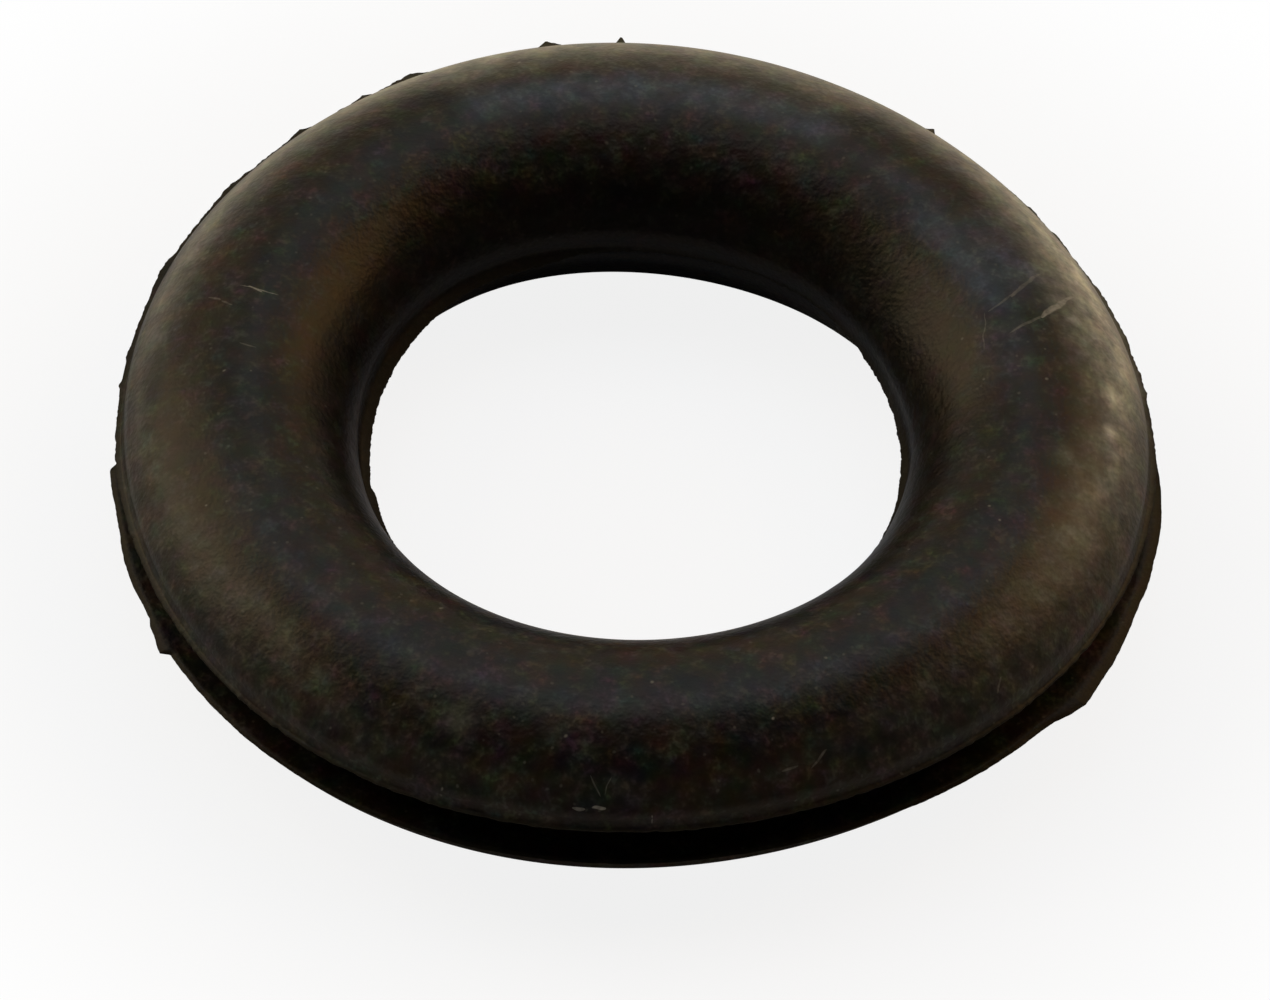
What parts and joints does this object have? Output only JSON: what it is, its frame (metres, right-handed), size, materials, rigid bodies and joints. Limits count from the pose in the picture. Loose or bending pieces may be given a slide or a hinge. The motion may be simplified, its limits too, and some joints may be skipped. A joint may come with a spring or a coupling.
{
  "type": "rubber grommet",
  "caption": "Round moulded rubber ring with crowned flanges either side of a panel groove; it lines a hole in a panel so that a cable or pipe can pass through its bore.",
  "frame": {"origin": "on the bore's axis, in the middle of the panel groove", "axes": "+Z along the bore's axis, out of the upper flange; +X towards the wider strip of mould flash, +Y to its left seen from above"},
  "size_m": [0.0377, 0.037, 0.0074],
  "materials": {
    "black_rubber": "satin, with a faint bloom, dust and handling scuffs"
  },
  "bodies": {
    "root": {"grommet": "black_rubber"}
  },
  "joints": []
}
